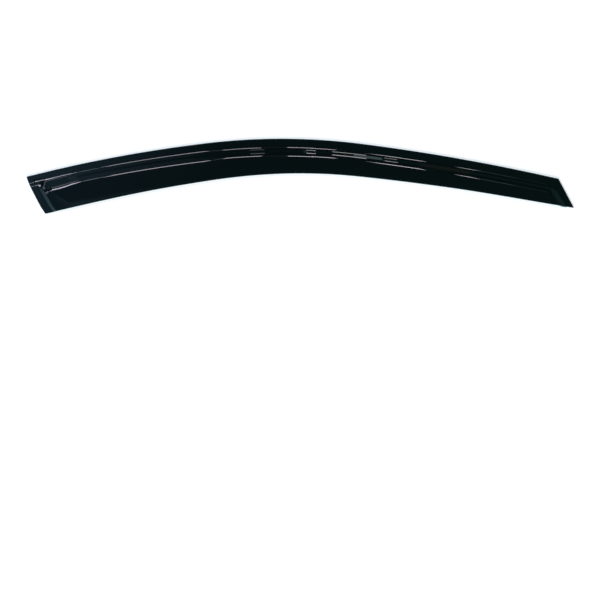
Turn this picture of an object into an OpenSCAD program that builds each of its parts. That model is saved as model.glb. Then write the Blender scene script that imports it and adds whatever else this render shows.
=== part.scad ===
// Window rain deflector for the front side door of a car.
// One moulded smoked acrylic shell: a flat flange along the top and both ends, a sloping
// shoulder band, and a raised face with an open, free bottom edge.
// Foam tape with its peel-off liner sits on the back of the flange.
// It lies on its back: X runs from the rear end to the front end, Y up in the window plane,
// Z outward from the door. Sizes are in millimetres and angles in degrees.

/* [Top edge] */
// Angle of the rear end of the top edge above the X axis
rear_heading = 13.57; // [8:0.01:18]
// Straight run of the top edge at the rear end
rear_straight = 34; // [28:1:60]
// Radius of the rear arc of the top edge
rear_arc_radius = 2420; // [1800:10:3600]
// Angle turned by the rear arc
rear_arc_turn = 6.8; // [5:0.1:8.5]
// Radius of the crown arc of the top edge
crown_arc_radius = 1110; // [900:10:1500]
// Angle turned by the crown arc
crown_arc_turn = 13.95; // [11:0.05:17]
// Radius of the front arc of the top edge
front_arc_radius = 3530; // [2600:10:4500]
// Angle turned by the front arc
front_arc_turn = 5.3; // [4:0.1:6.5]
// Straight run of the top edge at the front end
front_straight = 26; // [22:1:60]

/* [Width and ends] */
// Width, square to the top edge, at the rear end
width_rear = 71.6; // [62:0.1:84]
// Width a quarter of the way to the front
width_quarter = 68.1; // [60:0.1:80]
// Width half way along
width_middle = 60.4; // [54:0.1:72]
// Width three quarters of the way to the front
width_three_quarter = 53.9; // [49:0.1:64]
// Width at the front end
width_front = 44.2; // [41:0.1:52]
// Change of width over a quarter of the length, at the rear end
rear_taper = 3; // [-6:0.5:6]
// Change of width over a quarter of the length, at the front end
front_taper = -18; // [-24:0.5:-4]
// Slant of the rear cut from square to the top edge
rear_cut = 13.6; // [5:0.1:22]
// Outward bow of the rear cut half way down
rear_bow = 2.3; // [0:0.1:2.5]
// Slant of the front cut from square to the top edge
front_cut = 40.4; // [30:0.1:46]

/* [Shell] */
// Wall thickness of the acrylic
wall = 3; // [2.4:0.1:3.2]
// Rounding of the edges
edge_round = 0.5; // [0.4:0.1:1]
// Rise from the flange to the face
rise = 7.2; // [5.5:0.1:8.5]
// Distance from the top edge to the foot of the shoulder, rear end
foot_rear = 14; // [13.6:0.1:15.5]
// Distance from the top edge to the foot of the shoulder, half way along
foot_middle = 16.9; // [15:0.1:17.4]
// Distance from the top edge to the foot of the shoulder, front end
foot_front = 15.7; // [15:0.1:16.8]
// Distance from the top edge to the head of the shoulder, rear end
head_rear = 27.2; // [26.5:0.1:29]
// Distance from the top edge to the head of the shoulder, half way along
head_middle = 28.1; // [26.5:0.1:29]
// Distance from the top edge to the head of the shoulder, front end
head_front = 25.5; // [25:0.1:27]
// Half width of the hollow bend at the foot of the shoulder
foot_bend = 3.5; // [2.5:0.1:3.8]
// Half width of the bend at the head of the shoulder
head_bend = 4.5; // [3.5:0.1:4.8]
// Slope of the face just below the shoulder, as rise over run
face_slope = 0.09; // [0.04:0.01:0.14]

/* [Rear end] */
// Width of the rear end flange at the top
rear_flange_top = 12.8; // [12.5:0.1:16]
// Growth of the rear end flange down to the bottom edge
rear_flange_growth = 1.6; // [0:0.1:3]
// Step by which the rear end flange stands above the top flange
joggle = 2.5; // [0.5:0.1:3.5]
// Distance from the top edge to the start of that step
joggle_start = 12.5; // [11.5:0.1:13]
// Run of that step
joggle_run = 7.5; // [5:0.1:8.5]
// Run of the lower part of the rear end wall
rear_wall_lower_run = 4.5; // [4:0.1:6]
// Slope of the lower part of the rear end wall, as rise over run
rear_wall_lower_slope = 0.8; // [0.6:0.01:0.9]
// Slope of the upper part of the rear end wall, as rise over run
rear_wall_upper_slope = 0.16; // [0.12:0.01:0.3]
// Softness of the corner where the shoulder turns into the rear end wall, as a height
rear_corner_softness = 2; // [1:0.1:3]
// Extra depth of the head of the shoulder beside the rear end
rear_flare = 3.8; // [0:0.1:4.5]
// Distance from the rear end at which that extra depth is full
rear_flare_start = 40; // [40:1:60]
// Run over which it dies out
rear_flare_run = 45; // [20:1:50]
// Further drop of the head of the shoulder at the rear corner
rear_drop = 6; // [0:0.1:7]
// Distance from the rear end at which that drop is full
rear_drop_start = 20; // [16:0.5:22]
// Run over which it dies out
rear_drop_run = 14; // [10:0.5:18]

/* [Front end] */
// Width of the front end flange at the top
front_flange_top = 16.2; // [15.5:0.1:17.5]
// Growth of the front end flange down to the bottom edge; below zero it narrows
front_flange_growth = -5.4; // [-6:0.1:0]
// Slope of the front end wall, as rise over run
front_wall_slope = 0.85; // [0.8:0.01:1.2]
// Rounding in plan of the corner where the shoulder turns into the front end wall
front_corner_round = 10; // [4:0.5:12]

/* [Tape] */
// Thickness of the foam tape
foam_thickness = 1; // [0.6:0.1:1.6]
// Thickness of the peel-off liner
liner_thickness = 0.15; // [0.1:0.05:0.3]
// Distance of the tape from the edge of the flange
tape_inset = 1.5; // [1:0.1:2.5]
// Width of the tape along the top
top_tape_width = 8; // [6:0.1:8.2]
// Width of the tape on the ends
end_tape_width = 6.5; // [4:0.1:6.6]

/* [Hidden] */

acrylic = [0.035, 0.085, 0.1];
foam = [0.2, 0.2, 0.21];
film = [0.72, 0.09, 0.07];

back = foam_thickness + liner_thickness;
// heights over which the end walls bend out of their flanges
rear_foot_softness = 1.9;
front_foot_softness = 1.2;
// height over which the lower part of the rear end wall bends into the upper part
rear_crest_softness = 0.9;

// top edge: a straight, three arcs that turn to the right, and a straight
function along(p, len) = [p[0] + len * cos(p[2]), p[1] + len * sin(p[2]), p[2]];
function turned(p, r, t) =
    [p[0] + r * (sin(p[2]) - sin(p[2] - t)), p[1] + r * (cos(p[2] - t) - cos(p[2])), p[2] - t];
function arc_length(r, t) = r * t * PI / 180;
function arc_turn(r, len) = len / r * 180 / PI;

at_0 = [0, 0, rear_heading];
at_1 = along(at_0, rear_straight);
at_2 = turned(at_1, rear_arc_radius, rear_arc_turn);
at_3 = turned(at_2, crown_arc_radius, crown_arc_turn);
at_4 = turned(at_3, front_arc_radius, front_arc_turn);
to_1 = rear_straight;
to_2 = to_1 + arc_length(rear_arc_radius, rear_arc_turn);
to_3 = to_2 + arc_length(crown_arc_radius, crown_arc_turn);
to_4 = to_3 + arc_length(front_arc_radius, front_arc_turn);
edge_length = to_4 + front_straight;

function on_edge(s) =
    s < to_1 ? along(at_0, s) :
    s < to_2 ? turned(at_1, rear_arc_radius, arc_turn(rear_arc_radius, s - to_1)) :
    s < to_3 ? turned(at_2, crown_arc_radius, arc_turn(crown_arc_radius, s - to_2)) :
    s < to_4 ? turned(at_3, front_arc_radius, arc_turn(front_arc_radius, s - to_3)) :
    along(at_4, s - to_4);

// plan position of a point at s along the top edge and d square to it
function plan(s, d) = let (p = on_edge(s)) [p[0] + d * sin(p[2]), p[1] - d * cos(p[2])];

// small helpers
function ease(x) = let (t = max(0, min(1, x))) t * t * (3 - 2 * t);
function mix(a, b, t) = a + (b - a) * t;
// zero, then a parabolic bend of half width w, then a straight rise of one in one
function bend(x, w) = x < -w ? 0 : x > w ? x : (x + w) * (x + w) / (4 * w);
// the lower of two heights with a rounded change from one to the other
function lower(a, b, k) = min(a, b) - pow(max(0, k - abs(a - b)), 2) / (4 * k);

// width along the visor: a smooth curve through the five named widths
widths = [width_rear, width_quarter, width_middle, width_three_quarter, width_front];
function width_slope(i) =
    i == 0 ? rear_taper : i == 4 ? front_taper : (widths[i + 1] - widths[i - 1]) / 2;
function width_at(s) =
    let (x = max(0, min(3.9999, s / edge_length * 4)), i = floor(x), t = x - i)
    (2 * t * t * t - 3 * t * t + 1) * widths[i] + (t * t * t - 2 * t * t + t) * width_slope(i)
    + (3 * t * t - 2 * t * t * t) * widths[i + 1] + (t * t * t - t * t) * width_slope(i + 1);

// a smooth curve through a rear, a middle and a front value
function through(a, b, c, s) =
    let (t = max(0, min(1, s / edge_length)))
    a * (1 - t) * (1 - 2 * t) + b * 4 * t * (1 - t) + c * t * (2 * t - 1);
function foot_at(s) = through(foot_rear, foot_middle, foot_front, s);
function head_at(s) = through(head_rear, head_middle, head_front, s);

rear_tan = tan(rear_cut);
front_tan = tan(front_cut);
rear_growth = rear_flange_growth / width_rear;
front_growth = front_flange_growth / width_front;

// reach of the bow of the rear cut
function bow(d) = rear_bow * (1 - pow(2 * max(0, min(1, d / width_rear)) - 1, 4));

// distances from the rear and front cuts
function from_rear(s, d) = (s - rear_tan * d) * cos(rear_cut) + bow(d);
function from_front(s, d) = (edge_length + front_tan * d - s) * cos(front_cut);

// height of the outer surface above the flange
function rear_head_drop(u) =
    rear_flare * (1 - ease((u - rear_flare_start) / rear_flare_run))
    + rear_drop * (1 - ease((u - rear_drop_start) / rear_drop_run));
function rear_wall(s, d) =
    let (x = from_rear(s, d) - rear_flange_top - rear_growth * d)
    joggle + lower(rear_wall_lower_slope * x,
        rear_wall_lower_slope * rear_wall_lower_run
        + rear_wall_upper_slope * (x - rear_wall_lower_run), rear_crest_softness);
function front_wall(s, d) =
    front_wall_slope * (from_front(s, d) - front_flange_top - front_growth * d);
// the shoulder: d is the distance from the top edge, f its foot, h its head, m its slope
function shoulder(d, f, h, m, wide) =
    let (x = max(0, d - h), room = max(1, wide - h))
    m * (d - f) - (m - face_slope) * bend(d - h, head_bend)
    - face_slope * x * x / (2 * room);
function height(s, d, wide) =
    let (u = from_rear(s, d), v = from_front(s, d),
         near_rear = 1 - ease((u - 15) / 16), near_front = 1 - ease((v - 15) / 14),
         f = foot_at(s), h = head_at(s) + rear_head_drop(u), m = rise / (h - f),
         step = joggle * ease((d - joggle_start) / joggle_run) * near_rear,
         soft = mix(mix(foot_bend * m, rear_foot_softness, near_rear),
                    front_foot_softness, near_front),
         t = lower(shoulder(lower(d, f + front_wall(s, d) / m, front_corner_round), f, h, m, wide),
                   rear_wall(s, d), rear_corner_softness))
    step + bend(t - step, soft);

// columns across the visor: [place on the top edge, drift per unit of width, share of the bow]
round_steps = [0, edge_round * 0.29, edge_round];
rear_flange_steps = [4.5, 7.5, 9.4, 11, 12.5, 14, 15.5, 17.1, 19, 21, 23, 24.8, 26.6, 28.4,
                     30.4, 32.6, 35, 38.5];
front_flange_steps = [32, 29, 27, 25.2, 23.6, 22, 20.4, 18.8, 17.4, 16, 14.6, 13.2, 11.6, 9, 5];
rear_u = concat(round_steps, rear_flange_steps);
front_u = concat(front_flange_steps, [edge_round, edge_round * 0.29, 0]);
middle_count = 52;
rear_columns = [for (u = rear_u)
    [u / cos(rear_cut), rear_tan + rear_growth * min(1, u / rear_flange_top) / cos(rear_cut), 1]];
front_columns = [for (u = front_u)
    [edge_length - u / cos(front_cut),
     front_tan - front_growth * min(1, u / front_flange_top) / cos(front_cut), 0]];
last_rear = rear_columns[len(rear_columns) - 1];
first_front = front_columns[0];
middle_columns = [for (i = [1 : middle_count - 1]) let (t = i / middle_count)
    [mix(last_rear[0], first_front[0], t), mix(last_rear[1], first_front[1], ease(t)), 1 - ease(3 * t)]];
columns = concat(rear_columns, middle_columns, front_columns);

// rows down one column, as distances from the top edge
function rows_at(s) =
    let (f = foot_at(s), h = head_at(s), w = width_at(s), e = edge_round)
    [0, e * 0.29, e, (f - foot_bend) / 2, f - foot_bend, f - foot_bend / 2, f, f + foot_bend / 2,
     f + foot_bend, mix(f + foot_bend, h - head_bend, 0.35), mix(f + foot_bend, h - head_bend, 0.7),
     h - head_bend, h - head_bend / 2, h, h + head_bend / 2, h + head_bend,
     mix(h + head_bend, w, 0.28), mix(h + head_bend, w, 0.6), mix(w - e, h + head_bend, 0.12),
     w - e, w - e * 0.29, w];
row_count = len(rows_at(0));

// how far an edge rounding lowers the surface at a distance t from the nearest edge
function round_off(t) =
    t >= edge_round ? 0 : edge_round - sqrt(max(0, pow(edge_round, 2) - pow(edge_round - t, 2)));

function spot(s, d, wide) = let (p = plan(s, d)) [p[0], p[1], back + wall + height(s, d, wide)];
function unit(v) = v / norm(v);
function outward(s, d, wide) =
    let (e = 0.05)
    unit(cross(spot(s + e, d, wide) - spot(s - e, d, wide),
               spot(s, d - e, wide) - spot(s, d + e, wide)));

function nearest_edge(u, v, d, wide) = min(d, wide - d, u, v);
// a grid point pushed in from the outer surface, for the outer skin and for the back
function skin(inner) =
    [for (c = columns) let (wide = width_at(c[0])) for (d = rows_at(c[0]))
        let (s = c[0] + c[1] * d - c[2] * bow(d) / cos(rear_cut),
             r = round_off(nearest_edge(from_rear(s, d), from_front(s, d), d, wide)))
        spot(s, d, wide) - outward(s, d, wide) * (inner ? wall - r : r)];

outer_skin = skin(false);
inner_skin = skin(true);

// the frame: the middle of the outline is the origin
xs = [for (p = outer_skin) p[0]];
ys = [for (p = outer_skin) p[1]];
middle = [(min(xs) + max(xs)) / 2, (min(ys) + max(ys)) / 2, 0];

module visor() {
    nc = len(columns);
    nr = row_count;
    total = nc * nr;
    function at(i, j) = i * nr + j;
    top_faces = [for (i = [0 : nc - 2]) for (j = [0 : nr - 2])
        each [[at(i, j), at(i + 1, j), at(i + 1, j + 1)], [at(i, j), at(i + 1, j + 1), at(i, j + 1)]]];
    back_faces = [for (f = top_faces) [f[2] + total, f[1] + total, f[0] + total]];
    ring = concat([for (i = [0 : nc - 1]) at(i, 0)], [for (j = [1 : nr - 1]) at(nc - 1, j)],
                  [for (i = [nc - 2 : -1 : 0]) at(i, nr - 1)], [for (j = [nr - 2 : -1 : 1]) at(0, j)]);
    n = len(ring);
    side_faces = [for (k = [0 : n - 1]) let (a = ring[k], b = ring[(k + 1) % n])
        each [[a, a + total, b + total], [a, b + total, b]]];
    color(acrylic)
        translate(-middle)
            polyhedron(concat(outer_skin, inner_skin), concat(top_faces, back_faces, side_faces),
                       convexity = 6);
}

// tape: strips with parallel edges, laid on the flat back of the flange
module strip(outline, low, thick) {
    translate([-middle[0], -middle[1], low])
        linear_extrude(height = thick)
            polygon(outline);
}

// top strip: follows the top edge from end to end
tape_columns = [for (c = columns)
    if (from_rear(c[0], 0) > tape_inset + 0.6 && from_front(c[0], 0) > tape_inset + 0.6) c];
function strip_edge(d) =
    let (a = tape_inset / cos(rear_cut), b = edge_length - tape_inset / cos(front_cut))
    concat([plan(a + rear_tan * d, d)],
           [for (c = tape_columns) plan(c[0] + c[1] * d, d)],
           [plan(b + front_tan * d, d)]);
function reversed(l) = [for (i = [len(l) - 1 : -1 : 0]) l[i]];
top_outline = concat(strip_edge(tape_inset), reversed(strip_edge(tape_inset + top_tape_width)));

// end strips: straight bands along the rear and front cuts
function rear_point(u, d) = plan(u / cos(rear_cut) + rear_tan * d, d);
function front_point(u, d) = plan(edge_length + front_tan * d - u / cos(front_cut), d);
end_tape_far = tape_inset + end_tape_width;
rear_from = joggle_start + joggle_run + 2;
rear_to = width_rear - 4;
rear_outline = [rear_point(tape_inset, rear_from), rear_point(end_tape_far, rear_from),
                rear_point(end_tape_far, rear_to), rear_point(tape_inset, rear_to)];
front_from = tape_inset + top_tape_width + 1.5;
front_to = width_front - 3;
front_outline = [front_point(tape_inset, front_from), front_point(end_tape_far, front_from),
                 front_point(end_tape_far, front_to), front_point(tape_inset, front_to)];

module top_tape() { color(foam) strip(top_outline, liner_thickness, foam_thickness); }
module rear_end_tape() { color(foam) strip(rear_outline, joggle + liner_thickness, foam_thickness); }
module front_end_tape() { color(foam) strip(front_outline, liner_thickness, foam_thickness); }
module top_liner() { color(film) strip(top_outline, 0, liner_thickness); }
module rear_end_liner() { color(film) strip(rear_outline, joggle, liner_thickness); }
module front_end_liner() { color(film) strip(front_outline, 0, liner_thickness); }

visor();
top_tape();
rear_end_tape();
front_end_tape();
top_liner();
rear_end_liner();
front_end_liner();
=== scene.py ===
"""Window rain deflector: the looks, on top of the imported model. The form is worked out in millimetres."""

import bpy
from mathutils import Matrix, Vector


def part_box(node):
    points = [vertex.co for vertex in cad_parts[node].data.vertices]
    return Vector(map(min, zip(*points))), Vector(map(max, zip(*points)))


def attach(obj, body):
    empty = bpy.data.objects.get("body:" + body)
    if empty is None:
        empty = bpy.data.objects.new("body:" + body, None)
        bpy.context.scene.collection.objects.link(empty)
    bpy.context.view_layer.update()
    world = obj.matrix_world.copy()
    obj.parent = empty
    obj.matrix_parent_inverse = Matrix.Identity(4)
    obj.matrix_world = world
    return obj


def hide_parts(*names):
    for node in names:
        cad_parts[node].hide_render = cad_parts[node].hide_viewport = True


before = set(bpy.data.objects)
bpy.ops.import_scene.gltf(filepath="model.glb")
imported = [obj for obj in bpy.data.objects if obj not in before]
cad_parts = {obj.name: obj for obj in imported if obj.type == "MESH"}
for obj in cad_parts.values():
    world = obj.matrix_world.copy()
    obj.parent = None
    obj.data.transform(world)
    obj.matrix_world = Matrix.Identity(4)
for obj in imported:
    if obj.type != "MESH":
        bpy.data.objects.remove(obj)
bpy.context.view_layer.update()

from math import pi, radians
import bpy
import numpy as np
from mathutils import Vector

# Form of the shell: the sizes of the CAD, in millimetres
# top edge: heading at the rear end, straight ends, and arcs as radius and turn in degrees
REAR_HEADING = radians(13.57)
REAR_STRAIGHT, FRONT_STRAIGHT = 34.0, 26.0
ARCS = ((2420.0, 6.8), (1110.0, 13.95), (3530.0, 5.3))
# width at five even places from rear to front, and its change over a quarter of the length at both ends
WIDTHS = np.array([71.6, 68.1, 60.4, 53.9, 44.2])
REAR_TAPER, FRONT_TAPER = 3.0, -18.0
# slants of the end cuts from square to the top edge, and the outward bow of the rear one
REAR_CUT, FRONT_CUT = radians(13.6), radians(40.4)
REAR_BOW = 2.3
# wall, rounding of the edges, rise from the flange to the face, and the tape with its liner below the flange
WALL, EDGE_ROUND, RISE = 3.0, 0.5, 7.2
BACK = 1.15
# foot and head of the shoulder at the rear, the middle and the front, with the half widths of their bends
FOOT, HEAD = (14.0, 16.9, 15.7), (27.2, 28.1, 25.5)
FOOT_BEND, HEAD_BEND = 3.5, 4.5
FACE_SLOPE = 0.09
# rear end: flange, its growth to the bottom edge, and the step by which it stands above the top flange
REAR_FLANGE, REAR_GROWTH = 12.8, 1.6
JOGGLE, JOGGLE_START, JOGGLE_RUN = 2.5, 12.5, 7.5
# rear end wall: a lower run and two slopes, with the softness of its crest, corner and foot as heights
LOWER_RUN, LOWER_SLOPE, UPPER_SLOPE = 4.5, 0.8, 0.16
REAR_CREST, REAR_CORNER, REAR_FOOT = 0.9, 2.0, 1.9
# extra depth of the shoulder's head beside the rear end, where it starts to die out and over which run
FLARE, FLARE_START, FLARE_RUN = 3.8, 40.0, 45.0
DROP, DROP_START, DROP_RUN = 6.0, 20.0, 14.0
# front end: flange, its growth, slope of the end wall, rounding of the corner in plan, softness of the foot
FRONT_FLANGE, FRONT_GROWTH = 16.2, -5.4
FRONT_SLOPE, FRONT_CORNER, FRONT_FOOT = 0.85, 10.0, 1.2
# near the ends the foot takes the softness of the end wall: full up to here, and gone after the run
NEAR_END, NEAR_REAR_RUN, NEAR_FRONT_RUN = 15.0, 16.0, 14.0

SEGMENTS = ([(REAR_STRAIGHT, 0.0)] + [(radius * radians(turn), 1.0 / radius) for radius, turn in ARCS]
            + [(FRONT_STRAIGHT, 0.0)])
LENGTH = sum(length for length, _ in SEGMENTS)
REAR_TAN, FRONT_TAN = np.tan(REAR_CUT), np.tan(FRONT_CUT)

# Grid of the mesh
# the top edge is traced past both ends, because the slanted cuts reach beyond it
TRACE_BEFORE, TRACE_AFTER, TRACE_SAMPLES = 60.0, 90.0, 24001
# lines near the ends: marks as distances from the cut, and the widest gap between lines up to each mark
REAR_MARKS, FRONT_MARKS = (EDGE_ROUND, 8.0, 36.0, 60.0), (EDGE_ROUND, 8.0, 32.0, 50.0)
END_GAPS = (1.8, 0.8, 1.6)
ROUND_LINES, MIDDLE_COLUMNS = 5, 232
FLANGE_ROWS, BAND_ROWS, FACE_ROWS = 6, 60, 14
# the fine rows of the band start this far above the foot and end this far below the bend of the head
BAND_ABOVE, BAND_BELOW = 3.8, 0.5
# the head's extra depth is looked up here, a little ahead of the column and at mid-depth of the band
LOOK_AHEAD, LOOK_DEPTH = 9.0, 36.0
# the columns lose the bow of the rear end over this length
BOW_REACH = 250.0
# half the distance between the points that give a normal
NORMAL_STEP = 0.04
# distance from the nearest edge at which the rim attribute reaches 1
RIM_REACH = 2.4


def trace():
    """The top edge as fine samples: distance, x, y and heading."""
    s = np.linspace(-TRACE_BEFORE, LENGTH + TRACE_AFTER, TRACE_SAMPLES)
    heading = np.full(s.size, REAR_HEADING)
    start = 0.0
    for length, curve in SEGMENTS:
        heading -= curve * np.clip(s - start, 0.0, length)
        start += length
    mid, step = (heading[1:] + heading[:-1]) / 2, s[1] - s[0]
    x = np.r_[0.0, np.cumsum(np.cos(mid)) * step]
    y = np.r_[0.0, np.cumsum(np.sin(mid)) * step]
    return s, x - np.interp(0.0, s, x), y - np.interp(0.0, s, y), heading


EDGE_S, EDGE_X, EDGE_Y, EDGE_HEADING = trace()


def plan(s, d):
    """Plan position of a point at s along the top edge and d square to it."""
    x, y, heading = (np.interp(s, EDGE_S, v) for v in (EDGE_X, EDGE_Y, EDGE_HEADING))
    return x + d * np.sin(heading), y - d * np.cos(heading)


def ease(x):
    """Smooth change from 0 to 1."""
    t = np.clip(x, 0.0, 1.0)
    return t * t * (3.0 - 2.0 * t)


def bend(x, w):
    """Zero, then a parabolic bend of half width w, then a straight rise of one in one."""
    return np.where(x < -w, 0.0, np.where(x > w, x, (x + w) ** 2 / (4.0 * w)))


def lower(a, b, k):
    """The lower of two heights, with a rounded change from one to the other."""
    return np.minimum(a, b) - np.maximum(0.0, k - np.abs(a - b)) ** 2 / (4.0 * k)


def width_at(s):
    """Width along the visor: a smooth curve through the five widths."""
    inner = [(WIDTHS[i + 1] - WIDTHS[i - 1]) / 2 for i in (1, 2, 3)]
    slopes = np.array([REAR_TAPER] + inner + [FRONT_TAPER])
    x = np.clip(np.asarray(s) / LENGTH * 4.0, 0.0, 3.9999)
    i = np.floor(x).astype(int)
    t = x - i
    return ((2 * t**3 - 3 * t * t + 1) * WIDTHS[i] + (t**3 - 2 * t * t + t) * slopes[i]
            + (3 * t * t - 2 * t**3) * WIDTHS[i + 1] + (t**3 - t * t) * slopes[i + 1])


def through(three, s):
    """A smooth curve through a rear, a middle and a front value."""
    t = np.clip(s / LENGTH, 0.0, 1.0)
    return three[0] * (1 - t) * (1 - 2 * t) + three[1] * 4 * t * (1 - t) + three[2] * t * (2 * t - 1)


def bow(d):
    """Reach of the bow of the rear cut."""
    return REAR_BOW * (1.0 - (2.0 * np.clip(d / WIDTHS[0], 0.0, 1.0) - 1.0) ** 4)


def from_rear(s, d):
    return (s - REAR_TAN * d) * np.cos(REAR_CUT) + bow(d)


def from_front(s, d):
    return (LENGTH + FRONT_TAN * d - s) * np.cos(FRONT_CUT)


def head_drop(u):
    """Extra depth of the shoulder's head at a distance u from the rear cut."""
    flare = FLARE * (1.0 - ease((u - FLARE_START) / FLARE_RUN))
    return flare + DROP * (1.0 - ease((u - DROP_START) / DROP_RUN))


def height(s, d, wide):
    """Height of the outer skin above the top flange."""
    u, v = from_rear(s, d), from_front(s, d)
    foot, head = through(FOOT, s), through(HEAD, s) + head_drop(u)
    slope = RISE / (head - foot)
    front = FRONT_SLOPE * (v - FRONT_FLANGE - FRONT_GROWTH / WIDTHS[4] * d)
    depth = lower(d, foot + front / slope, FRONT_CORNER)
    past = np.maximum(0.0, depth - head)
    shoulder = (slope * (depth - foot) - (slope - FACE_SLOPE) * bend(depth - head, HEAD_BEND)
                - FACE_SLOPE * past * past / (2.0 * np.maximum(1.0, wide - head)))
    x = u - REAR_FLANGE - REAR_GROWTH / WIDTHS[0] * d
    upper_wall = LOWER_SLOPE * LOWER_RUN + UPPER_SLOPE * (x - LOWER_RUN)
    rear = JOGGLE + lower(LOWER_SLOPE * x, upper_wall, REAR_CREST)
    near_rear = 1.0 - ease((u - NEAR_END) / NEAR_REAR_RUN)
    near_front = 1.0 - ease((v - NEAR_END) / NEAR_FRONT_RUN)
    step = JOGGLE * ease((d - JOGGLE_START) / JOGGLE_RUN) * near_rear
    soft = FOOT_BEND * slope
    soft = soft + (REAR_FOOT - soft) * near_rear
    soft = soft + (FRONT_FOOT - soft) * near_front
    return step + bend(lower(shoulder, rear, REAR_CORNER) - step, soft)


def spaced(marks, gaps):
    """Values that pass through the marks with gaps of at most the given size up to each of them."""
    out = [marks[0]]
    for a, b, gap in zip(marks[:-1], marks[1:], gaps):
        n = max(1, int(np.ceil(abs(b - a) / gap)))
        out += list(a + (b - a) * np.arange(1, n + 1) / n)
    return np.array(out)


def rows_at(s, wide, rounding):
    """Distances from the top edge down one column, close together on the shoulder band."""
    foot, head = through(FOOT, s), through(HEAD, s)
    band_end = head + HEAD_BEND + BAND_BELOW + head_drop(from_rear(s + LOOK_AHEAD, LOOK_DEPTH))
    flange = np.linspace(EDGE_ROUND, foot - BAND_ABOVE, FLANGE_ROWS + 1)[1:]
    band = np.linspace(foot - BAND_ABOVE, band_end, BAND_ROWS + 1)[1:]
    face = np.linspace(band_end, wide - EDGE_ROUND, FACE_ROWS + 1)[1:]
    return np.r_[rounding, flange, band, face, (wide - rounding)[::-1][1:]]


def skins():
    """Outer and inner skins on one grid that follows the top edge and both slanted ends."""
    rounding = EDGE_ROUND * (1.0 - np.cos(np.linspace(0.0, pi / 2, ROUND_LINES)))
    rear = np.r_[rounding, spaced(REAR_MARKS, END_GAPS)[1:]] / np.cos(REAR_CUT)
    front = (LENGTH - np.r_[rounding, spaced(FRONT_MARKS, END_GAPS)[1:]] / np.cos(FRONT_CUT))[::-1]
    columns = np.r_[rear, np.linspace(rear[-1], front[0], MIDDLE_COLUMNS)[1:-1], front]
    drift = REAR_TAN + (FRONT_TAN - REAR_TAN) * ease((columns - rear[-1]) / (front[0] - rear[-1]))
    wide = width_at(columns)
    d = np.array([rows_at(s, w, rounding) for s, w in zip(columns, wide)])
    bow_share = 1.0 - ease((columns - rear[-1]) / BOW_REACH)
    s = columns[:, None] + drift[:, None] * d - bow_share[:, None] * bow(d) / np.cos(REAR_CUT)
    wide = np.repeat(wide[:, None], d.shape[1], 1)

    def spot(s, d):
        x, y = plan(s, d)
        return np.stack([x, y, BACK + WALL + height(s, d, wide)], -1)

    e = NORMAL_STEP
    normal = np.cross(spot(s + e, d) - spot(s - e, d), spot(s, d - e) - spot(s, d + e))
    normal /= np.linalg.norm(normal, axis=-1, keepdims=True)
    rim = np.minimum(np.minimum(d, wide - d), np.minimum(from_rear(s, d), from_front(s, d)))
    rim = np.clip(rim, 0.0, None)
    arc = EDGE_ROUND - np.sqrt(np.clip(EDGE_ROUND**2 - (EDGE_ROUND - rim) ** 2, 0.0, None))
    sunk = np.where(rim >= EDGE_ROUND, 0.0, arc)
    base = spot(s, d)
    return base - normal * sunk[..., None], base - normal * (WALL - sunk)[..., None], rim


def visor_mesh():
    """The shell as one closed mesh in metres, with the distance from the nearest edge as an attribute."""
    outer, inner, rim = skins()
    across, down = outer[..., 0], outer[..., 1]
    centre = np.array([(across.min() + across.max()) / 2, (down.min() + down.max()) / 2, 0.0])
    points = np.concatenate([(outer - centre).reshape(-1, 3), (inner - centre).reshape(-1, 3)]) / 1000.0
    low, high = (np.array(c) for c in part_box("visor"))
    points = np.clip(points, low, high)
    index = np.arange(rim.size).reshape(rim.shape)
    here, next_column = index[:-1, :-1], index[1:, :-1]
    next_row, opposite = index[:-1, 1:], index[1:, 1:]
    front = np.stack([here, next_row, opposite, next_column], -1).reshape(-1, 4)
    back = np.stack([here, next_column, opposite, next_row], -1).reshape(-1, 4) + rim.size
    ring = np.r_[index[:, 0], index[-1, 1:], index[-2::-1, -1], index[0, -2:0:-1]]
    following = np.roll(ring, -1)
    side = np.stack([ring, following, following + rim.size, ring + rim.size], -1)

    mesh = bpy.data.meshes.new("visor_shell")
    mesh.from_pydata(points.tolist(), [], np.concatenate([front, back, side]).tolist())
    mesh.validate()
    mesh.update()
    mesh.polygons.foreach_set("use_smooth", np.ones(len(mesh.polygons), bool))
    share = np.clip(np.tile(rim.reshape(-1), 2) / RIM_REACH, 0.0, 1.0)
    attribute = mesh.attributes.new("rim", "FLOAT", "POINT")
    attribute.data.foreach_set("value", share.astype(np.float32))
    return mesh


def place(name, data):
    """A new object in the scene."""
    obj = bpy.data.objects.new(name, data)
    bpy.context.scene.collection.objects.link(obj)
    return obj


visor = place("visor_shell", visor_mesh())
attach(visor, "root")
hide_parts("visor")


# Materials
def material(name):
    m = bpy.data.materials.new(name)
    m.use_nodes = True
    nodes, links = m.node_tree.nodes, m.node_tree.links
    return m, nodes, links, nodes["Principled BSDF"]


def noise(nodes, links, scale, detail=3.0, rough=0.5, stretch=(1, 1, 1)):
    coord = nodes.new("ShaderNodeTexCoord")
    mapping = nodes.new("ShaderNodeMapping")
    mapping.inputs["Scale"].default_value = stretch
    texture = nodes.new("ShaderNodeTexNoise")
    texture.inputs["Scale"].default_value = scale
    texture.inputs["Detail"].default_value = detail
    texture.inputs["Roughness"].default_value = rough
    links.new(coord.outputs["Object"], mapping.inputs["Vector"])
    links.new(mapping.outputs["Vector"], texture.inputs["Vector"])
    return texture.outputs["Fac"]


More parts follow.
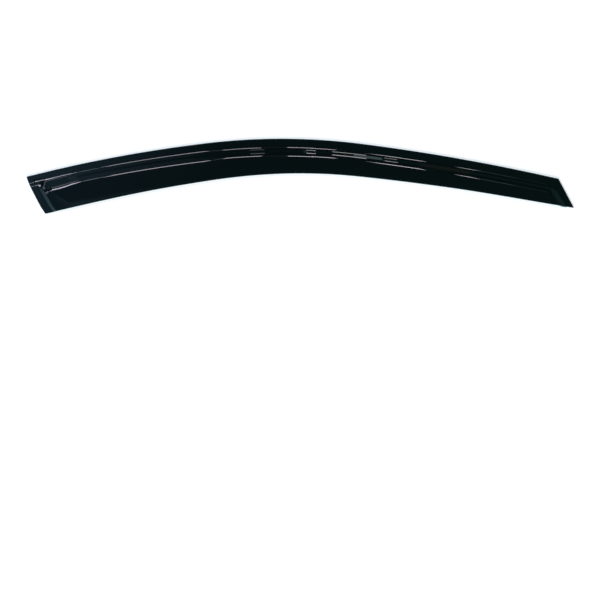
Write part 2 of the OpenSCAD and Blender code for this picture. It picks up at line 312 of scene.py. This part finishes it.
def ramp(nodes, links, source, stops):
    """A colour ramp on the source, with two or more stops of position and colour."""
    node = nodes.new("ShaderNodeValToRGB")
    first, last = node.color_ramp.elements[0], node.color_ramp.elements[1]
    for end, (position, colour) in ((first, stops[0]), (last, stops[-1])):
        end.position = position
        end.color = (*colour, 1)
    for position, colour in stops[1:-1]:
        node.color_ramp.elements.new(position).color = (*colour, 1)
    links.new(source, node.inputs["Fac"])
    return node.outputs["Color"]


def to_range(nodes, links, source, low, high, from_low=0.0, from_high=1.0):
    node = nodes.new("ShaderNodeMapRange")
    node.inputs["From Min"].default_value = from_low
    node.inputs["From Max"].default_value = from_high
    node.inputs["To Min"].default_value = low
    node.inputs["To Max"].default_value = high
    links.new(source, node.inputs["Value"])
    return node.outputs["Result"]


def bump(nodes, links, source, strength, distance, shader):
    node = nodes.new("ShaderNodeBump")
    node.inputs["Strength"].default_value = strength
    node.inputs["Distance"].default_value = distance
    links.new(source, node.inputs["Height"])
    links.new(node.outputs["Normal"], shader.inputs["Normal"])


def acrylic():
    """Glossy deep teal, a little bluer at the rear, greener at the front, with painted edge light: a lighter
    teal along the edges.
    """
    m, nodes, links, shader = material("smoked_acrylic")
    coord = nodes.new("ShaderNodeTexCoord")
    split = nodes.new("ShaderNodeSeparateXYZ")
    links.new(coord.outputs["Object"], split.inputs["Vector"])
    along = to_range(nodes, links, split.outputs["X"], 0.0, 1.0, -0.48, 0.48)
    body = ramp(nodes, links, along, [(0.0, (0.0020, 0.0048, 0.0058)), (0.5, (0.0021, 0.0050, 0.0052)),
                                      (1.0, (0.0022, 0.0062, 0.0058))])
    rim = nodes.new("ShaderNodeAttribute")
    rim.attribute_name = "rim"
    # painted edge light: close to the edges the body colour is mixed towards a light teal, standing in for
    # light on the thin edges
    glow = ramp(nodes, links, rim.outputs["Fac"], [(0.0, (1, 1, 1)), (0.2, (0.35, 0.35, 0.35)),
                                                   (0.7, (0, 0, 0))])
    mix = nodes.new("ShaderNodeMix")
    mix.data_type = "RGBA"
    links.new(glow, mix.inputs["Factor"])
    links.new(body, mix.inputs["A"])
    mix.inputs["B"].default_value = (0.012, 0.085, 0.105, 1)
    links.new(mix.outputs["Result"], shader.inputs["Base Color"])
    roughness = to_range(nodes, links, noise(nodes, links, 60.0, 4.0), 0.012, 0.03)
    links.new(roughness, shader.inputs["Roughness"])
    shader.inputs["IOR"].default_value = 1.49
    # faint waviness of the moulded sheet
    bump(nodes, links, noise(nodes, links, 22.0, 1.0, 0.4, (0.35, 1, 1)), 0.02, 0.0006, shader)
    return m


def foam():
    """Dark matt foam with fine cells."""
    m, nodes, links, shader = material("foam_tape")
    cells = nodes.new("ShaderNodeTexVoronoi")
    coord = nodes.new("ShaderNodeTexCoord")
    links.new(coord.outputs["Object"], cells.inputs["Vector"])
    cells.inputs["Scale"].default_value = 2600.0
    colour = ramp(nodes, links, noise(nodes, links, 900.0, 4.0, 0.6),
                  [(0.3, (0.026, 0.026, 0.028)), (0.7, (0.045, 0.045, 0.047))])
    links.new(colour, shader.inputs["Base Color"])
    links.new(to_range(nodes, links, noise(nodes, links, 300.0), 0.82, 0.95), shader.inputs["Roughness"])
    bump(nodes, links, cells.outputs["Distance"], 0.6, 0.0002, shader)
    return m


def liner():
    """Thin red film, satin, with a faint ripple."""
    m, nodes, links, shader = material("liner_film")
    colour = ramp(nodes, links, noise(nodes, links, 35.0, 3.0),
                  [(0.3, (0.42, 0.012, 0.009)), (0.7, (0.50, 0.018, 0.012))])
    links.new(colour, shader.inputs["Base Color"])
    links.new(to_range(nodes, links, noise(nodes, links, 180.0, 4.0), 0.26, 0.4), shader.inputs["Roughness"])
    bump(nodes, links, noise(nodes, links, 90.0, 3.0, 0.55, (1, 0.4, 1)), 0.35, 0.0004, shader)
    return m


def give(obj, look):
    obj.data.materials.clear()
    obj.data.materials.append(look)


ACRYLIC, FOAM, LINER = acrylic(), foam(), liner()
give(visor, ACRYLIC)
for name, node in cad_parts.items():
    give(node, FOAM if name.endswith("tape") else LINER if name.endswith("liner") else ACRYLIC)


# Floor: flat around the part, and falling gently outside, so that the steep front wall doesn't mirror it
FLOOR_HALF, FLAT_HALF, FLOOR_FALL = 12.0, 0.56, -0.25
FLOOR_COLOUR, FLOOR_LIFT = 0.72, 0.55


def seen_ray(nodes, links):
    """1 for what the camera, a reflection or glass sees of the floor, and 0 for the light it gives."""
    path = nodes.new("ShaderNodeLightPath")
    seen = path.outputs["Is Camera Ray"]
    for ray in ("Is Glossy Ray", "Is Transmission Ray"):
        either = nodes.new("ShaderNodeMath")
        either.operation = "MAXIMUM"
        links.new(seen, either.inputs[0])
        links.new(path.outputs[ray], either.inputs[1])
        seen = either.outputs[0]
    return seen


def floor():
    """A pale floor, lifted to white for what sees it, with the shadow kept."""
    mesh = bpy.data.meshes.new("floor")
    square = ((-1, -1), (1, -1), (1, 1), (-1, 1))
    mesh.from_pydata([(x * FLOOR_HALF, y * FLOOR_HALF, FLOOR_FALL) for x, y in square]
                     + [(x * FLAT_HALF, y * FLAT_HALF, 0) for x, y in square], [],
                     [(4, 5, 6, 7), (0, 1, 5, 4), (1, 2, 6, 5), (2, 3, 7, 6), (3, 0, 4, 7)])
    obj = place("floor", mesh)
    m, nodes, links, shader = material("pale_floor")
    shader.inputs["Base Color"].default_value = (FLOOR_COLOUR, FLOOR_COLOUR, FLOOR_COLOUR, 1)
    shader.inputs["Roughness"].default_value = 0.9
    shader.inputs["Specular IOR Level"].default_value = 0.0
    lift = nodes.new("ShaderNodeMath")
    lift.operation = "MULTIPLY"
    lift.inputs[1].default_value = FLOOR_LIFT
    links.new(seen_ray(nodes, links), lift.inputs[0])
    shader.inputs["Emission Color"].default_value = (1, 1, 1, 1)
    links.new(lift.outputs[0], shader.inputs["Emission Strength"])
    obj.data.materials.append(m)


floor()

# World: a dark studio whose soft glows depend on the direction alone. X is the front end, Y is north.
world = bpy.data.worlds.new("studio")
bpy.context.scene.world = world
world.use_nodes = True
sky_nodes, sky_links = world.node_tree.nodes, world.node_tree.links
direction = sky_nodes.new("ShaderNodeTexCoord")
parts = sky_nodes.new("ShaderNodeSeparateXYZ")
sky_links.new(direction.outputs["Generated"], parts.inputs["Vector"])
EAST, NORTH, UP = (parts.outputs[k] for k in "XYZ")


def work_out(a, operation, b):
    """A math node on two sockets or numbers."""
    node = sky_nodes.new("ShaderNodeMath")
    node.operation = operation
    for entry, value in zip(node.inputs, (a, b)):
        if isinstance(value, (int, float)):
            entry.default_value = value
        else:
            sky_links.new(value, entry)
    return node.outputs[0]


def fade(source, start, end, to=1.0):
    """0 before the start and the given value past the end, with a straight change between them."""
    return to_range(sky_nodes, sky_links, source, 0.0, to, start, end)


def add_glow(colour, glow, amount):
    """Adds a glow of the given colour, scaled by an amount from 0 to 1."""
    node = sky_nodes.new("ShaderNodeMix")
    node.data_type, node.blend_type = "RGBA", "ADD"
    sky_links.new(amount, node.inputs["Factor"])
    sky_links.new(colour, node.inputs["A"])
    node.inputs["B"].default_value = (*glow, 1)
    return node.outputs["Result"]


# Dark teal all round, a bright south side, a teal horizon, a teal east side and a cyan west side
base = sky_nodes.new("ShaderNodeRGB")
base.outputs[0].default_value = (0.012, 0.022, 0.026, 1)
sky = add_glow(base.outputs[0], (0.9, 0.95, 1.0), fade(NORTH, -0.5, -0.9))
sky = add_glow(sky, (0.05, 0.15, 0.14), work_out(fade(UP, 0.45, 0.15), "MULTIPLY", fade(EAST, 0.7, 0.5)))
sky = add_glow(sky, (0.07, 0.18, 0.15), fade(EAST, 0.5, 0.7))
sky = add_glow(sky, (0.41, 0.77, 0.94), fade(EAST, -0.42, -0.62))
# A dim blue glow over the rear end. The flatter a surface, the less its mirrored direction turns rearward,
# so the rearward share is divided by less there. The flange and the face mirror the flat glow, and the
# shoulder band mirrors the steep one.
spread = work_out(1.7, "SUBTRACT", work_out(UP, "MULTIPLY", 1.4))
rearward = fade(work_out(work_out(EAST, "MULTIPLY", -1.0), "DIVIDE", spread), 0.11, 0.28)
flat_glow = work_out(fade(NORTH, 0.075, 0.048, 0.75), "SUBTRACT", fade(NORTH, 0.040, 0.030, 0.3))
flat_glow = work_out(work_out(flat_glow, "ADD", 0.25), "MULTIPLY", fade(EAST, -0.5, -0.15))
steep_glow = work_out(fade(NORTH, 0.42, 0.56, 0.78), "MULTIPLY", fade(EAST, -0.6, -0.36))
rear_glow = work_out(rearward, "MULTIPLY", work_out(flat_glow, "ADD", steep_glow))
rear_glow = work_out(rear_glow, "MULTIPLY", fade(UP, 0.3, 0.5))
sky = add_glow(sky, (0.13, 0.26, 0.36), rear_glow)
background = sky_nodes["Background"]
sky_links.new(sky, background.inputs["Color"])
background.inputs["Strength"].default_value = 1.0


def lamp(name, at, aim, size, radiance, colour=(1, 1, 1)):
    """A flat rectangular softbox of the given radiance. Its size is along and across, in metres."""
    data = bpy.data.lights.new(name, "AREA")
    data.shape = "RECTANGLE"
    data.size, data.size_y = size
    data.energy = radiance * pi * size[0] * size[1]
    data.color = colour
    obj = place(name, data)
    obj.location = at
    obj.rotation_euler = (Vector(aim) - Vector(at)).to_track_quat("-Z", "Y").to_euler()


# Lights, in metres from the middle of the part
BLUE, DIM, PALE, OLIVE = (0.83, 0.79, 1.0), (0.62, 0.80, 1.0), (0.97, 0.89, 1.0), (0.92, 1.0, 0.86)
WARM, COOL, TEAL = (1.0, 0.94, 0.99), (0.80, 0.92, 1.0), (0.6, 1.0, 0.98)
STRIP_HEIGHT, LOW_HEIGHT = 1.6, 0.6
# A broken row of narrow strips to the north, from the rear to the front. Their reflections are the bright
# lines along both bends of the shoulder. Each has its rear end, its front end, its distance and depth to
# the north, its radiance and its tint.
STRIPS = (
    # dashes and the curved start of the lower line at the rear corner
    (-1.090, -1.050, 0.27, 0.08, 13.0, BLUE),
    (-1.022, -0.994, 1.12, 0.08, 9.0, BLUE),
    (-0.990, -0.945, 0.15, 0.08, 12.0, BLUE),
    (-0.955, -0.900, 0.24, 0.10, 12.0, BLUE),
    # olive band above the lower line
    (-0.945, -0.805, 1.10, 0.28, 1.5, OLIVE),
    # first run of both lines
    (-0.900, -0.745, 0.40, 0.24, 20.0, BLUE),
    (-0.745, -0.732, 0.36, 0.12, 18.0, BLUE),
    (-0.732, -0.690, 0.49, 0.26, 19.0, BLUE),
    (-0.690, -0.655, 0.46, 0.17, 11.0, BLUE),
    (-0.655, -0.622, 0.49, 0.19, 19.0, BLUE),
    # dim stretch
    (-0.622, -0.562, 0.56, 0.18, 4.5, DIM),
    # long run, a short break, and the run to the crown
    (-0.538, -0.262, 0.53, 0.18, 11.0, PALE),
    (-0.262, -0.250, 0.70, 0.30, 1.5, COOL),
    (-0.250, -0.115, 0.86, 0.18, 11.0, PALE),
    # faint stretch at the crown, and the two middle runs
    (-0.100, -0.023, 0.76, 0.18, 0.3, COOL),
    (-0.023, 0.060, 0.74, 0.18, 14.0, PALE),
    (0.060, 0.143, 0.82, 0.18, 15.0, PALE),
    # front run, which starts softly
    (0.250, 0.268, 0.80, 0.18, 4.0, WARM),
    (0.268, 0.295, 0.80, 0.18, 12.0, WARM),
    (0.295, 0.400, 0.80, 0.18, 16.0, WARM),
    # last short run, and the teal fade to the front end
    (0.503, 0.552, 0.82, 0.18, 12.0, WARM),
    (0.552, 0.655, 0.82, 0.18, 1.1, TEAL),
    (0.655, 0.980, 0.90, 0.20, 0.35, TEAL),
)
# Lower lights, seen in the steep middle of the shoulder. Each has its name, its place, the place on the
# part's middle line that it faces, its size, radiance and tint.
LOW = (
    ("low_short", (0.0725, 1.15), 0.02, (0.035, 0.09), 12.0, WARM),
    ("low_long", (0.21, 1.09), 0.06, (0.12, 0.12), 10.0, WARM),
    ("low_end", (0.355, 1.20), 0.13, (0.035, 0.09), 9.0, WARM),
    ("low_broad", (0.365, 1.75), 0.14, (0.10, 0.35), 1.25, (0.68, 1.0, 1.0)),
    ("low_dim", (-0.125, 0.98), -0.05, (0.05, 0.12), 2.2, COOL),
    ("low_navy", (0.07, 1.62), 0.02, (0.02, 0.30), 0.5, (0.35, 0.5, 1.0)),
    ("low_rear", (-0.55, 0.97), -0.3, (0.42, 0.10), 0.13, COOL),
    ("front_glow", (0.58, 1.55), 0.25, (0.15, 0.80), 0.07, (1.0, 0.72, 0.35)),
)

lamp("soft_south", (0.0, -1.9, 1.7), (0, 0, 0), (2.0, 1.2), 5.0)
for i, (rear, front, distance, depth, radiance, tint) in enumerate(STRIPS):
    x = (rear + front) / 2
    lamp("strip_%d" % i, (x, distance, STRIP_HEIGHT), (x, 0, 0), (front - rear, depth), radiance, tint)
for name, at, aim, size, radiance, tint in LOW:
    lamp(name, (*at, LOW_HEIGHT), (aim, 0, 0), size, radiance, tint)

# Camera: straight above, as in the photo, with the part's middle at its place there.
# A pixel is a real length at the mean height of the part.
PIXEL, MEAN_HEIGHT, DISTANCE, SENSOR = 0.001752, 0.0042, 5.0, 36.0
PHOTO_WIDTH, PHOTO_HEIGHT = 601, 600
PART_X, PART_Y = 300.25, 176.3
camera_data = bpy.data.cameras.new("camera")
camera = place("camera", camera_data)
bpy.context.scene.camera = camera
camera.location = ((PHOTO_WIDTH / 2 - PART_X) * PIXEL, (PART_Y - PHOTO_HEIGHT / 2) * PIXEL, DISTANCE)
camera.rotation_euler = (0.0, 0.0, 0.0)
camera_data.sensor_fit = "HORIZONTAL"
camera_data.sensor_width = SENSOR
camera_data.lens = SENSOR * (DISTANCE - MEAN_HEIGHT) / (PHOTO_WIDTH * PIXEL)
camera_data.clip_end = 100.0
bpy.context.scene.view_settings.view_transform = "Standard"
